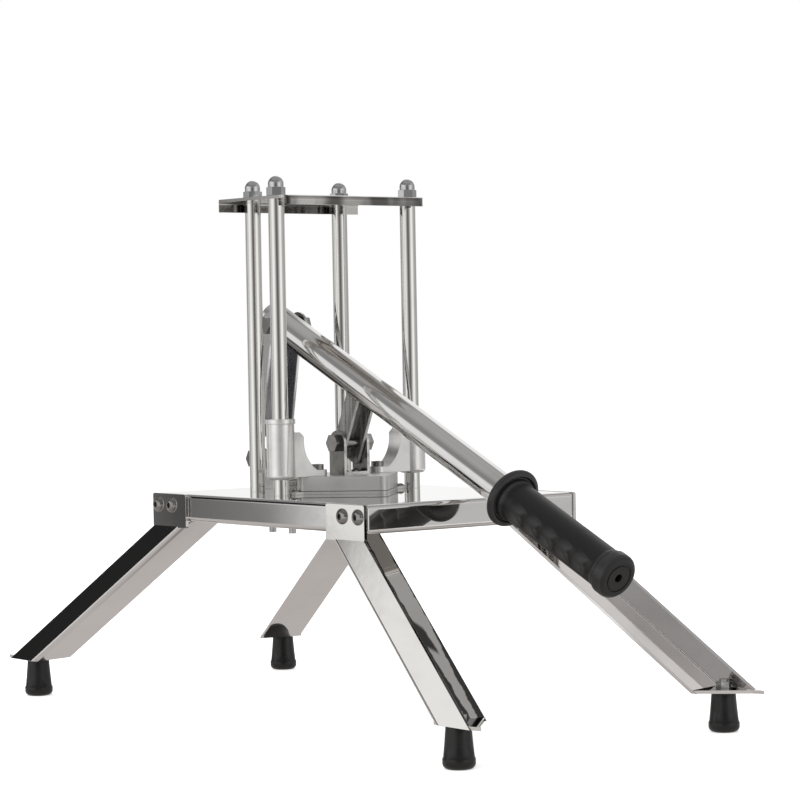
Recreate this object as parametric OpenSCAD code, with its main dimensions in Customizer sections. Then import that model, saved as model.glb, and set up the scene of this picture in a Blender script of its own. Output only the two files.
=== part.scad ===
// Lever-operated vegetable slicer that stands on four splayed legs.
// X runs forward from the rear pivot to the grip, Y runs to the operator's right,
// Z runs up. The origin is the middle of the four feet at floor level.

/* [Base tray] */
// Length of the tray, front to back
base_l = 280; // [272:1:296]
// Distance of the tray's middle ahead of the middle of the feet
base_x = 5.5; // [2:0.5:8]
// Width of the tray, side to side
base_w = 200; // [192:1:216]
// Height of the tray's top above the floor
base_h = 174; // [150:1:190]
// Height of the tray's walls
base_wall = 21.5; // [20:0.5:23]
// Thickness of the tray's sheet
tray_t = 1.5; // [1.2:0.1:2]
// Outer radius of the tray's folded edges
fold_r = 3.5; // [3:0.5:4]
// Width of the lip that turns in under the walls
lip_w = 6; // [4:0.5:8]

/* [Legs] */
// Thickness of the leg's sheet
leg_t = 2.5; // [2:0.1:3]
// Width of the leg's outer flange, measured level
flange_out = 41; // [36:1:44]
// Width of the leg's inner flange, measured level
flange_in = 40; // [34:1:44]
// Angle between the two flanges in a level section
flange_angle = 77; // [70:1:90]
// Outer radius of the bend between the flanges
flange_bend_r = 3.2; // [3.1:0.1:6]
// Distance of the leg's ridge from the tray's end, at its upper end
ridge_in = 42; // [38:1:46]
// Distance of the foot from the middle, along X
foot_x = 279.5; // [260:1:290]
// Distance of the foot from the middle, along Y
foot_y = 126.3; // [118:1:132]
// Distance from the ridge's lower end to the foot, along X
foot_in_x = 14.9; // [12:0.5:17]
// Distance from the ridge's lower end to the foot, along Y
foot_in_y = 11.5; // [10:0.5:13]
// Height of the upright tab that is bolted to the tray
tab_h = 26; // [24:0.5:27]
// Width of the upright tab
tab_w = 47; // [44:1:49]
// Corner radius of the tab
tab_r = 2; // [1:0.5:4]
// Reach of the foot pad beyond the outer flange
pad_nose = 8; // [4:0.5:10]

/* [Feet] */
// Height of a rubber foot
foot_h = 30; // [24:1:36]
// Diameter of the foot at its top
foot_top_d = 20; // [18:0.5:22]
// Diameter of the foot at its bottom
foot_bottom_d = 25.5; // [23:0.5:28]
// Radius of the foot's lower edge
foot_edge_r = 4; // [2:0.5:5]

/* [Guide rods] */
// Diameter of a guide rod
rod_d = 12.7; // [10:0.1:14]
// Place of the front rods and of the pusher along X
front_rod_x = -9.8; // [-16:0.2:-4]
// Half of the distance between the front rods
front_rod_y = 64.7; // [62:0.1:68]
// Place of the rear rods along X
rear_rod_x = -72.3; // [-76:0.1:-68]
// Half of the distance between the rear rods
rear_rod_y = 43; // [38:0.5:46]
// Free length of a rod between the tray and the top plate
rod_l = 230.5; // [226:0.5:240]

/* [Top plate] */
// Thickness of the top plate's sheet
plate_t = 2.5; // [2:0.1:3]
// Depth of the top plate's rear lip
plate_lip = 10; // [9:0.5:12]
// Depth of the top plate's front lip
plate_front_lip = 7.5; // [6:0.5:9]
// Width of the top plate, side to side
plate_w = 139; // [137:1:150]
// Distance from the front rods to the plate's front edge
plate_front = 19; // [15:0.5:22]
// Distance from the rear rods to the plate's rear edge
plate_rear = 12; // [11:0.5:16]
// Radius of the plate's fold
plate_fold_r = 4; // [3:0.5:5]
// Radius of the plate's front corners in plan
plate_corner_r = 8; // [4:0.5:9]
// Radius of the plate's rear corners in plan
plate_rear_r = 4; // [3:0.5:6]

/* [Blade frame and blades] */
// Side of the square blade frame and of the pusher plate, which stand on edge to the rods
block_w = 72; // [70:0.5:73]
// Corner radius of the blade frame and of the pusher plate
block_r = 6; // [5.5:0.5:8]
// Thickness of the blade frame above the tray
frame_t = 2.2; // [1.8:0.1:3]
// Distance of a blade frame screw from the frame's middle
frame_screw_y = 52.4; // [52.2:0.1:53]
// Radius of the blade frame's ear round a screw
frame_ear_r = 4.4; // [4:0.1:4.8]
// Side of the square opening in the blade frame
opening_w = 41; // [40:0.5:42]
// Wall of the collar that hangs through the tray
collar_t = 3.5; // [3:0.1:4]
// Depth of the collar below the tray's top
collar_h = 15; // [14:0.5:17]
// Number of blades
blade_count = 5; // [4:1:6]
// Thickness of a blade
blade_t = 0.8; // [0.6:0.1:1]
// Depth of a blade
blade_h = 13; // [11:0.5:14]

/* [Pusher and arms] */
// Thickness of the pusher plate
pusher_t = 11.3; // [10:0.1:13]
// Gap between the pusher plate and the blade frame at rest
pusher_gap = 0.4; // [0.4:0.1:0.8]
// Reach of the pusher's ribs below the pusher plate
rib_l = 10; // [8:0.5:11]
// Gap between a rib and the blade beside it
rib_gap = 0.5; // [0.4:0.05:0.7]
// Diameter of the boss round a front rod
boss_d = 22; // [20:0.5:24]
// Height of the boss
boss_h = 47; // [44:1:52]
// Diameter of the ring at the top of the boss
boss_ring_d = 23.5; // [22.5:0.5:25]
// Height of the ring at the top of the boss
boss_ring_h = 3.5; // [2:0.5:5]
// Outer diameter of the sleeve in the boss
sleeve_d = 16; // [15.5:0.1:16.5]
// Radius of the boss's lower edge
boss_edge_r = 3; // [1:0.5:3]
// Thickness of the arm's web along X
web_t = 15; // [12:0.5:17]
// Height of the arm's foot at its screw
web_seat_h = 5; // [4:0.5:7]
// Radius of the web's inner curve
web_curve_r = 27.2; // [26:0.1:28.5]

/* [Clevis and drop link] */
// Place of the clevis pin ahead of the front rods
clevis_x = 2.8; // [0:0.1:5]
// Height of the clevis pin above the pusher plate
clevis_h = 25.1; // [22:0.1:28]
// Distance across the clevis ears
clevis_w = 25; // [24.8:0.1:28]
// Thickness of the clevis
clevis_t = 2.5; // [2:0.1:2.6]
// Radius of the clevis ears round the pin
clevis_r = 9.8; // [9:0.1:11]
// Distance of the clevis pin below the middle of the handle tube
drop_h = 49.5; // [47:0.5:52]
// Distance of the drop link from the rear pivot, along the handle tube
drop_x = 116.7; // [110:0.1:124]
// Depth of the drop link's cheeks
drop_depth = 14.5; // [14:0.5:16]
// Reach of the drop link below its pin
drop_toe = 17; // [12:0.5:17.5]
// Thickness of the drop link's sheet
drop_t = 2.5; // [2:0.1:2.6]

/* [Handle] */
// Angle of the handle below level at rest
handle_tilt = 24.8; // [22:0.1:27]
// Diameter of the handle tube
tube_d = 25; // [24:0.1:26]
// Wall of the handle tube
tube_wall = 1.5; // [1.2:0.1:2]
// Reach of the tube behind the rear pivot
tube_rear = 17; // [16:0.5:20]
// Distance from the rear pivot to the start of the grip
grip_x = 309; // [290:1:320]
// Length of the grip
grip_l = 129; // [115:1:130]
// Diameter of the grip's body
grip_d = 29; // [28:0.5:32]
// Diameter of the grip's rounded end
grip_end_d = 34; // [32:0.5:36]
// Length of the grip's rounded end
grip_end_l = 11; // [10:0.5:14]
// Diameter of the grip's collar
grip_collar_d = 43; // [38:0.5:46]
// Thickness of the grip's collar
grip_collar_t = 6.5; // [5:0.5:8]
// Number of finger ridges along each side of the grip
ridge_count = 5; // [3:1:7]
// Height of a finger ridge
ridge_h = 0.8; // [0.4:0.1:1.2]

/* [Rear link and bracket] */
// Distance of the lower pivot from the tray's rear end
pivot_in = 21.5; // [18:0.5:26]
// Height of the lower pivot above the tray
pivot_h = 24.5; // [22:0.5:28]
// Distance across the rear link
link_w = 31; // [31:0.5:34]
// Thickness of the rear link's sheet
link_t = 2.5; // [2:0.1:2.5]
// Radius of the rear link's ends round the pivots
link_r = 10.5; // [9:0.5:12]
// Thickness of the rear bracket's sheet
bracket_t = 2.5; // [2:0.1:3]
// Length of the rear bracket's foot
bracket_l = 50; // [46:1:52]

/* [Fasteners] */
// Diameter of the pivot bolts and of the rods' threaded ends
bolt_d = 8; // [7:0.5:8.5]
// Distance across flats of the pivot nuts and rod nuts
nut_af = 13; // [12:0.5:14]
// Diameter of the leg, foot and bracket screws
screw_d = 6; // [5:0.5:6.5]
// Distance across flats of the nuts on those screws
screw_nut_af = 10; // [9:0.5:11]
// Diameter of the blade frame and clevis screws
small_d = 4; // [3:0.5:4.5]

/* [Hidden] */
$fn = 64;
// Overrun of a cut past the face it opens, and lap of a joined solid
over = 1;
// Radial play of a screw in its hole, and of a nut on its thread
hole_play = 0.25;
thread_play = 0.05;
// Radial play of a pin or rod in the hole it turns or slides in
run_play = 0.05;
// Sideways play between parts that turn against each other
side_play = 0.5;
// Play under the head of a pivot bolt
head_play = 0.3;

function unit(v) = v / norm(v);

// Bolt, nut and washer sizes that follow the thread
nut_h = bolt_d * 0.8;
head_h = bolt_d * 0.65;
washer_d = bolt_d * 2;
washer_t = bolt_d * 0.2;
screw_nut_h = screw_d * 0.8;
// Turn that brings the flats of a nut to where its corners were
flat_turn = 30;
screw_head_d = screw_d * 2;
screw_head_h = screw_d * 0.6;
cap_head_d = screw_d * 5 / 3;
cap_head_h = screw_d * 0.7;
cap_socket_af = screw_d * 5 / 6;
cap_socket_h = screw_d / 3;
small_head_d = small_d * 1.8;
small_head_h = small_d * 0.55;
small_nut_af = small_d * 1.75;
small_nut_h = small_d * 0.8;
// Thread that stands out past a nut
thread_out = 2;
dome_d = nut_af * 0.95;
dome_h = bolt_d * 1.9;
dome_bore_h = bolt_d * 1.4;

// Tray
base_bottom = base_h - base_wall;
tray_corner_r = tray_t + 0.5;
hollow_r = fold_r - tray_t;

// Legs: the ridge runs from the tab's lower edge to the foot pad, and the flanges
// run on up to the tray's underside
tab_bottom = base_h - tab_h;
leg_gap = 0.3;
leg_top = base_bottom - leg_gap;
ridge_foot = [foot_x - foot_in_x, foot_y + foot_in_y, foot_h];
level_in = [cos(flange_angle), -sin(flange_angle), 0];
pad_t = leg_t;
leg_screw_pitch = 19;
leg_screw_in = 7.5;
leg_screw_drop = 9;
leg_screw_z = base_h - leg_screw_drop;
// Distance of the tray's front end (1) or rear end (-1) from the middle of the feet
function tray_end(front) = base_l / 2 + front * base_x;
foot_bore_d = screw_head_d + 1;
foot_bore_h = 6;

// Rods
thread_below = tray_t + washer_t + nut_h + thread_out;
thread_above = plate_t + dome_bore_h - thread_out;
plate_bottom = base_h + rod_l;
plate_top = plate_bottom + plate_t;
plate_x1 = front_rod_x + plate_front;
plate_x0 = rear_rod_x - plate_rear;
plate_l = plate_x1 - plate_x0;

// Blade frame
frame_top = base_h + frame_t;
collar_w = opening_w + 2 * collar_t;
collar_gap = 0.5;
collar_bottom = base_h - collar_h;
blade_pitch = opening_w / (blade_count + 1);
blade_seat = 2;
blade_seat_gap = 0.1;
blade_bottom = collar_bottom + 1;

// Pusher
pusher_bottom = frame_top + pusher_gap;
pusher_top = pusher_bottom + pusher_t;
rib_w = blade_pitch - blade_t - 2 * rib_gap;
rib_end_gap = 1;
boss_bottom = pusher_top - 1.5;
boss_top = boss_bottom + boss_h;
web_seat_in = 35;
web_seat_y = front_rod_y - web_seat_in;
web_curve_in = 44.2;
web_curve_rise = 28;
web_curve_y = front_rod_y - web_curve_in;
web_curve_z = pusher_top + web_curve_rise;
web_shoulder = 4;
web_rise = 35;
web_top = pusher_top + web_rise;
shoulder_z = web_top - web_shoulder;
shoulder_y = web_curve_y + web_curve_r - over / 2;
arm_thread_l = 6;

// Pivots
pivot_x = -tray_end(-1) + pivot_in;
pin_x = front_rod_x + clevis_x;
pin_z = pusher_top + clevis_h;
rear_x = pin_x - drop_x * cos(handle_tilt) + drop_h * sin(handle_tilt);
rear_z = pin_z + drop_x * sin(handle_tilt) + drop_h * cos(handle_tilt);
low_z = base_h + pivot_h;
link_l = norm([rear_x - pivot_x, rear_z - low_z]);
link_lean = atan2(rear_x - pivot_x, rear_z - low_z);
drop_w = clevis_w - 2 * clevis_t - 2 * side_play;
drop_toe_r = 4;
weld_gap = 0.1;
bracket_w = link_w - 2 * link_t - 2 * side_play;
link_front = 4;
link_web_low = 16;
link_web_high = 19;
bracket_rail = 9;
bracket_rear = 12.5;
bracket_bolt_x = [pivot_x - 0.6, pivot_x + 27];
bracket_bolt_drop = 36.5;
clevis_screw_y = 5.5;

// Slot in the tube: the opened pivot of the linkage
slot_travel = 7.75;
slot_drop = 4.05;
slot_play = 0.4;

// Grip
grip_neck = 3;
grip_end_r = 4;
grip_step = 1.5;
grip_cap = 4;
grip_hole_d = 6;
grip_ring_d = 21;
grip_ring_w = 1;
grip_ring_h = 0.6;
ridge_zone = 12;
ridge_lead = 6;

STEEL = [0.78, 0.78, 0.79];
CHROME = [0.86, 0.87, 0.88];
CAST = [0.72, 0.72, 0.71];
ZINC = [0.62, 0.62, 0.62];
RUBBER = [0.11, 0.11, 0.11];
NYLON = [0.9, 0.9, 0.86];

// Copies of a child that is drawn in the front right quarter
module to_quarter(front, right) {
    mirror([front > 0 ? 0 : 1, 0, 0]) mirror([0, right > 0 ? 0 : 1, 0]) children();
}
module four_quarters() {
    for (front = [-1, 1], right = [-1, 1]) to_quarter(front, right) children();
}
module to_side(right) {
    mirror([0, right > 0 ? 0 : 1, 0]) children();
}

// Rectangle with round corners, centred
module soft_rect(l, w, r) {
    square([l - 2 * r, w], center = true);
    square([l, w - 2 * r], center = true);
    for (x = [-1, 1], y = [-1, 1]) translate([x * (l / 2 - r), y * (w / 2 - r)]) circle(r = r);
}

// Box with round upright edges of one radius and round level edges of another,
// centred on Z
module folded_box(l, w, h, plan_r, edge_r) {
    intersection() {
        translate([0, 0, -h / 2]) linear_extrude(h) soft_rect(l, w, plan_r);
        rotate([90, 0, 0]) translate([0, 0, -w / 2]) linear_extrude(w) soft_rect(l, h, edge_r);
        rotate([90, 0, 90]) translate([0, 0, -l / 2]) linear_extrude(l) soft_rect(w, h, edge_r);
    }
}

// Hexagon by its distance across flats
module hexagon(af, h) {
    cylinder(h = h, d = af / cos(30), $fn = 6);
}
module hex_nut(af, h, thread_d) {
    difference() {
        hexagon(af, h);
        translate([0, 0, -over]) cylinder(h = h + 2 * over, d = thread_d + 2 * thread_play);
    }
}
// Round-headed screw: the seat is at zero and the shank runs down
module round_screw(head_d, head_height, d, l) {
    dome_r = (head_d * head_d / 4 + head_height * head_height) / (2 * head_height);
    translate([0, 0, -l]) cylinder(h = l, d = d);
    intersection() {
        cylinder(h = head_height, d = head_d);
        translate([0, 0, head_height - dome_r]) sphere(r = dome_r);
    }
}
// Cap screw with a hexagon socket: the seat is at zero and the shank runs down
module cap_screw(head_d, head_height, d, l) {
    translate([0, 0, -l]) cylinder(h = l + over, d = d);
    difference() {
        cylinder(h = head_height, d = head_d);
        translate([0, 0, head_height - cap_socket_h]) hexagon(cap_socket_af, cap_socket_h + over);
    }
}
// Hexagon bolt: the seat is at zero and the shank runs down
module hex_bolt(af, head_height, d, l) {
    translate([0, 0, -l]) cylinder(h = l, d = d);
    hexagon(af, head_height);
}

// Places of one leg's screws on the tray's wall, in the front right quarter
module at_leg_screws(front) {
    for (i = [0, 1])
        translate([tray_end(front) - leg_screw_in - i * leg_screw_pitch, base_w / 2, leg_screw_z])
            rotate([-90, 0, 0]) children();
}
module at_all_leg_screws() {
    for (front = [-1, 1], right = [-1, 1]) to_quarter(front, right) at_leg_screws(front) children();
}
module at_rods() {
    for (y = [-1, 1]) {
        translate([front_rod_x, y * front_rod_y, 0]) children();
        translate([rear_rod_x, y * rear_rod_y, 0]) children();
    }
}
module at_frame_screws() {
    for (y = [-1, 1]) translate([front_rod_x, y * frame_screw_y, 0]) children();
}
// Square plate outline with one corner to the front
module edge_on_square() {
    rotate(45) soft_rect(block_w, block_w, block_r);
}
// Frame of the handle: X along the tube from the rear pivot
module in_handle() {
    translate([rear_x, 0, rear_z]) rotate([0, handle_tilt, 0]) children();
}
// Frame of the rear link: Z from the lower pivot to the rear pivot
module in_link() {
    translate([pivot_x, 0, low_z]) rotate([0, link_lean, 0]) children();
}
module across(w) {
    rotate([90, 0, 0]) translate([0, 0, -w / 2]) children();
}

module base_tray() {
    color(STEEL) difference() {
        translate([base_x, 0, base_h - base_wall / 2])
            folded_box(base_l, base_w, base_wall, tray_corner_r, fold_r);
        translate([base_x, 0, base_h - base_wall / 2])
            folded_box(base_l - 2 * tray_t, base_w - 2 * tray_t, base_wall - 2 * tray_t,
                tray_corner_r - tray_t, hollow_r);
        translate([base_x, 0, base_bottom - over])
            linear_extrude(2 * over + tray_t)
                soft_rect(base_l - 2 * lip_w, base_w - 2 * lip_w, tray_corner_r);
        translate([front_rod_x, 0, base_h - base_wall / 2])
            linear_extrude(base_wall)
                soft_rect(collar_w + 2 * collar_gap, collar_w + 2 * collar_gap, collar_t);
        translate([0, 0, base_h - base_wall / 2]) {
            at_rods() cylinder(h = base_wall, d = bolt_d + 2 * hole_play);
            at_frame_screws() cylinder(h = base_wall, d = small_d + 2 * hole_play);
            for (x = bracket_bolt_x)
                translate([x, 0, 0]) cylinder(h = base_wall, d = screw_d + 2 * hole_play);
        }
        at_all_leg_screws()
            translate([0, 0, -lip_w]) cylinder(h = lip_w + over, d = screw_d + 2 * hole_play);
    }
}

// Leg drawn in the front right quarter
module leg(front, right) {
    ridge_top = [tray_end(front) - ridge_in, base_w / 2 + leg_t, tab_bottom];
    ridge_dir = unit(ridge_foot - ridge_top);
    // Axes of the frame whose Z runs down the ridge, and the turn that leads to it
    u = unit([1, 0, 0] - ridge_dir[0] * ridge_dir);
    v = cross(ridge_dir, u);
    turn = [atan2(v[2], ridge_dir[2]), asin(-u[2]), atan2(u[1], u[0])];
    section_angle = atan2(level_in * v, level_in * u);
    reach = norm(ridge_foot - ridge_top);
    lap = flange_out;
    inner_end = [flange_in * cos(flange_angle), -flange_in * sin(flange_angle)];
    color(STEEL) to_quarter(front, right) difference() {
        union() {
            intersection() {
                translate(ridge_top) rotate(turn) translate([0, 0, -lap]) linear_extrude(reach + 2 * lap)
                    leg_section(section_angle, flange_out * u[0],
                        flange_in * norm([level_in * u, level_in * v]));
                translate([0, 0, foot_h]) cube([2 * foot_x, 2 * foot_y, leg_top - foot_h]);
            }
            translate([tray_end(front) - tab_w / 2, base_w / 2 + leg_t, tab_bottom + (tab_h - over) / 2])
                rotate([90, 0, 0]) linear_extrude(leg_t) soft_rect(tab_w, tab_h + over, tab_r);
            translate(ridge_foot) linear_extrude(pad_t)
                polygon([[over, -over], [flange_out, -over], [flange_out + pad_nose, -leg_t - over],
                    [flange_out, -3 * leg_t], inner_end + [leg_t, over], inner_end + [0, over]]);
        }
        at_leg_screws(front) translate([0, 0, -over])
            cylinder(h = leg_t + 2 * over, d = screw_d + 2 * hole_play);
        translate([foot_x, foot_y, foot_h - over])
            cylinder(h = pad_t + 2 * over, d = screw_d + 2 * hole_play);
    }
}
// Square section of a leg: the outer flange lies along X and the inner one turns in
// from it by the angle between them
module leg_section(angle, outer_w, inner_w) {
    u = [cos(angle), sin(angle)];
    n = [sin(angle), -cos(angle)];
    tangent = flange_bend_r / tan(angle / 2);
    difference() {
        union() {
            polygon([[tangent, 0], [outer_w, 0], [outer_w, leg_t], inner_w * u + leg_t * n,
                inner_w * u, tangent * u]);
            translate([tangent, flange_bend_r]) circle(r = flange_bend_r);
        }
        polygon([[tangent, leg_t], [outer_w + over, leg_t], (inner_w + over) * u + leg_t * n,
            tangent * u + leg_t * n]);
        translate([tangent, flange_bend_r]) circle(r = flange_bend_r - leg_t);
    }
}

module foot(front, right) {
    color(RUBBER) to_quarter(front, right) translate([foot_x, foot_y, 0]) rotate_extrude()
        difference() {
            union() {
                polygon([[0, 0], [foot_bottom_d / 2 - foot_edge_r, 0],
                    [foot_bottom_d / 2, foot_edge_r], [foot_top_d / 2, foot_h], [0, foot_h]]);
                intersection() {
                    translate([foot_bottom_d / 2 - foot_edge_r, foot_edge_r]) circle(r = foot_edge_r);
                    square([foot_bottom_d / 2, foot_edge_r]);
                }
            }
            square([foot_bore_d / 2, foot_bore_h]);
            square([screw_d / 2 + hole_play, foot_h + over]);
        }
}

module leg_screws() {
    color(ZINC) at_all_leg_screws() translate([0, 0, leg_t])
        round_screw(screw_head_d, screw_head_h, screw_d,
            leg_t + tray_t + screw_nut_h + thread_out);
}
module leg_nuts() {
    color(ZINC) at_all_leg_screws() translate([0, 0, -tray_t - screw_nut_h])
        rotate(flat_turn) hex_nut(screw_nut_af, screw_nut_h, screw_d);
}
module foot_screws() {
    color(ZINC) four_quarters() translate([foot_x, foot_y, foot_bore_h]) mirror([0, 0, 1])
        round_screw(screw_head_d, screw_head_h, screw_d,
            foot_h - foot_bore_h + pad_t + screw_nut_h + thread_out);
}
module foot_nuts() {
    color(ZINC) four_quarters() translate([foot_x, foot_y, foot_h + pad_t])
        hex_nut(screw_nut_af, screw_nut_h, screw_d);
}

module rod(x, y) {
    color(CHROME) translate([x, y, base_h]) {
        cylinder(h = rod_l, d = rod_d);
        translate([0, 0, -thread_below]) cylinder(h = thread_below + rod_l + thread_above, d = bolt_d);
    }
}
module rod_washers() {
    color(ZINC) at_rods() translate([0, 0, base_h - tray_t - washer_t]) difference() {
        cylinder(h = washer_t, d = washer_d);
        translate([0, 0, -over]) cylinder(h = washer_t + 2 * over, d = bolt_d + 2 * hole_play);
    }
}
module rod_nuts() {
    color(ZINC) at_rods() translate([0, 0, base_h - tray_t - washer_t - nut_h])
        hex_nut(nut_af, nut_h, bolt_d);
}
module top_plate() {
    color(CHROME) translate([(plate_x0 + plate_x1) / 2, 0, plate_top]) difference() {
        intersection() {
            rotate([90, 0, 0]) translate([0, 0, -plate_w / 2]) linear_extrude(plate_w)
                difference() {
                    translate([0, -plate_lip]) soft_rect(plate_l, 2 * plate_lip, plate_fold_r);
                    translate([0, -plate_lip])
                        soft_rect(plate_l - 2 * plate_t, 2 * (plate_lip - plate_t),
                            plate_fold_r - plate_t);
                    translate([-plate_l / 2 - over, -2 * plate_lip - over])
                        square([plate_l + 2 * over, plate_lip + over]);
                    translate([0, -2 * plate_lip]) square([plate_l, 2 * plate_lip - plate_front_lip]);
                }
            translate([0, 0, -plate_lip - over]) linear_extrude(plate_lip + 2 * over) {
                intersection() {
                    soft_rect(plate_l, plate_w, plate_corner_r);
                    translate([-over, -plate_w / 2]) square([plate_l, plate_w]);
                }
                intersection() {
                    soft_rect(plate_l, plate_w, plate_rear_r);
                    translate([-plate_l, -plate_w / 2]) square([plate_l, plate_w]);
                }
            }
        }
        translate([-(plate_x0 + plate_x1) / 2, 0, -plate_t - over])
            at_rods() cylinder(h = plate_t + 2 * over, d = bolt_d + 2 * hole_play);
    }
}
module acorn_nuts() {
    skirt_h = dome_h - dome_d / 2;
    color(CHROME) at_rods() translate([0, 0, plate_top]) difference() {
        union() {
            hexagon(nut_af, nut_h);
            cylinder(h = skirt_h, d = dome_d);
            translate([0, 0, skirt_h]) sphere(d = dome_d);
        }
        translate([0, 0, -dome_d]) cylinder(h = dome_bore_h + dome_d, d = bolt_d + 2 * thread_play);
    }
}

module blade_frame() {
    color(CAST) translate([front_rod_x, 0, 0]) difference() {
        union() {
            translate([0, 0, base_h]) linear_extrude(frame_t) {
                edge_on_square();
                for (y = [-1, 1]) translate([0, y * frame_screw_y]) circle(r = frame_ear_r);
                square([2 * frame_ear_r, 2 * frame_screw_y], center = true);
            }
            translate([0, 0, collar_bottom]) linear_extrude(collar_h + over)
                soft_rect(collar_w, collar_w, collar_t);
        }
        translate([0, 0, collar_bottom - over])
            linear_extrude(collar_h + frame_t + 2 * over) square(opening_w, center = true);
        for (i = [1:blade_count])
            translate([0, -opening_w / 2 + i * blade_pitch, blade_bottom - 2 * over])
                linear_extrude(blade_h + 2 * over + blade_seat_gap)
                    square([opening_w + 2 * blade_seat, blade_t + 2 * blade_seat_gap], center = true);
        translate([-front_rod_x, 0, base_h - over]) at_frame_screws()
            cylinder(h = frame_t + 2 * over, d = small_d + 2 * hole_play);
    }
}
// Each blade is ground to an edge along its top
module blades() {
    bevel_h = 3;
    color(CHROME) translate([front_rod_x, 0, 0]) for (i = [1:blade_count])
        translate([0, -opening_w / 2 + i * blade_pitch, blade_bottom])
            rotate([90, 0, 90]) translate([0, 0, -opening_w / 2 - blade_seat + blade_seat_gap])
                linear_extrude(opening_w + 2 * blade_seat - 2 * blade_seat_gap)
                    polygon([[-blade_t / 2, 0], [blade_t / 2, 0], [blade_t / 2, blade_h - bevel_h],
                        [0, blade_h], [-blade_t / 2, blade_h - bevel_h]]);
}
module frame_screws() {
    color(ZINC) at_frame_screws() translate([0, 0, frame_top])
        round_screw(small_head_d, small_head_h, small_d,
            frame_t + tray_t + small_nut_h + thread_out);
}
module frame_nuts() {
    color(ZINC) at_frame_screws() translate([0, 0, base_h - tray_t - small_nut_h])
        hex_nut(small_nut_af, small_nut_h, small_d);
}

module rear_bracket() {
    color(STEEL) difference() {
        across(bracket_w) linear_extrude(bracket_w) {
            translate([pivot_x, low_z]) circle(r = clevis_r);
            translate([pivot_x - clevis_r, base_h]) square([2 * clevis_r, pivot_h]);
            translate([pivot_x - bracket_rear, base_h]) square([bracket_l, bracket_rail]);
        }
        across(bracket_w - 2 * bracket_t) linear_extrude(bracket_w - 2 * bracket_t)
            translate([pivot_x - bracket_l, base_h + bracket_t]) square([2 * bracket_l, 3 * pivot_h]);
        across(bracket_w + 2 * over) translate([pivot_x, low_z, 0])
            cylinder(h = bracket_w + 2 * over, d = bolt_d + 2 * hole_play);
        for (x = bracket_bolt_x) translate([x, 0, base_h - over])
            cylinder(h = bracket_t + 2 * over, d = screw_d + 2 * hole_play);
    }
}
module bracket_bolts() {
    color(ZINC) for (x = bracket_bolt_x) translate([x, 0, base_h + bracket_t])
        hex_bolt(screw_nut_af, screw_head_h, screw_d, bracket_bolt_drop + bracket_t);
}
module bracket_nuts() {
    color(ZINC) for (x = bracket_bolt_x) translate([x, 0, base_h - tray_t - screw_nut_h])
        hex_nut(screw_nut_af, screw_nut_h, screw_d);
}
// Pivot bolt along Y with its head on the operator's left
module pivot_bolt(w) {
    translate([0, -w / 2, 0]) rotate([90, 0, 0])
        hex_bolt(nut_af, head_h, bolt_d, w + nut_h + thread_out);
}
module pivot_nut(w) {
    translate([0, w / 2, 0]) rotate([-90, 0, 0]) hex_nut(nut_af, nut_h, bolt_d);
}
module lower_pivot_bolt() {
    color(ZINC) translate([pivot_x, 0, low_z]) pivot_bolt(link_w + 2 * head_play);
}
module lower_pivot_nut() {
    color(ZINC) translate([pivot_x, 0, low_z]) pivot_nut(link_w + 2 * head_play);
}

// Channel open to the front, its back cut short of both pivots
module rear_link() {
    color(STEEL) in_link() difference() {
        across(link_w) linear_extrude(link_w) {
            circle(r = link_r);
            translate([0, link_l]) circle(r = link_r);
            translate([-link_r, 0]) square([link_r + link_front, link_l]);
        }
        across(link_w - 2 * link_t) linear_extrude(link_w - 2 * link_t) {
            translate([-link_r + link_t, -2 * link_r]) square([3 * link_r, link_l + 4 * link_r]);
            translate([-2 * link_r, -2 * link_r]) square([4 * link_r, 2 * link_r + link_web_low]);
            translate([-2 * link_r, link_l - link_web_high])
                square([4 * link_r, 2 * link_r + link_web_high]);
        }
        for (z = [0, link_l]) across(link_w + 2 * over) translate([0, z, 0])
            cylinder(h = link_w + 2 * over, d = bolt_d + 2 * run_play);
    }
}
module upper_pivot_bolt() {
    color(ZINC) in_link() translate([0, 0, link_l]) pivot_bolt(link_w);
}
module upper_pivot_nut() {
    color(ZINC) in_link() translate([0, 0, link_l]) pivot_nut(link_w);
}

// Outline of an arm, seen along X: the boss is at front_rod_y
module arm_outline() {
    difference() {
        polygon([[web_seat_y, pusher_top], [front_rod_y, pusher_top], [front_rod_y, web_top],
            [shoulder_y + web_shoulder, web_top], [shoulder_y, shoulder_z], [web_seat_y, shoulder_z]]);
        intersection() {
            translate([web_curve_y, web_curve_z]) circle(r = web_curve_r);
            translate([0, pusher_top + web_seat_h]) square([front_rod_y, boss_h]);
        }
    }
}
// Boss turned about the rod, with a round lower edge and a ring round its top
module arm_boss() {
    rotate_extrude() {
        translate([boss_d / 2 - boss_edge_r, boss_edge_r]) circle(r = boss_edge_r);
        square([boss_d / 2 - boss_edge_r, boss_h]);
        translate([0, boss_edge_r]) square([boss_d / 2, boss_h - boss_edge_r]);
        translate([0, boss_h - boss_ring_h]) square([boss_ring_d / 2, boss_ring_h]);
    }
}
module arm(right) {
    color(CAST) to_side(right) translate([front_rod_x, 0, 0]) difference() {
        union() {
            translate([-web_t / 2, 0, 0]) rotate([90, 0, 90]) linear_extrude(web_t) arm_outline();
            translate([0, web_seat_y, pusher_top]) cylinder(h = web_seat_h, d = web_t);
            translate([0, front_rod_y, boss_bottom]) arm_boss();
        }
        translate([0, front_rod_y, boss_bottom - over])
            cylinder(h = boss_h + 2 * over, d = sleeve_d);
        translate([0, web_seat_y, pusher_top - over])
            cylinder(h = web_seat_h + 2 * over, d = screw_d + 2 * hole_play);
        translate([0, web_seat_y, pusher_top + web_seat_h])
            cylinder(h = boss_h, d = cap_head_d + 2 * hole_play);
    }
}
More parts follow.
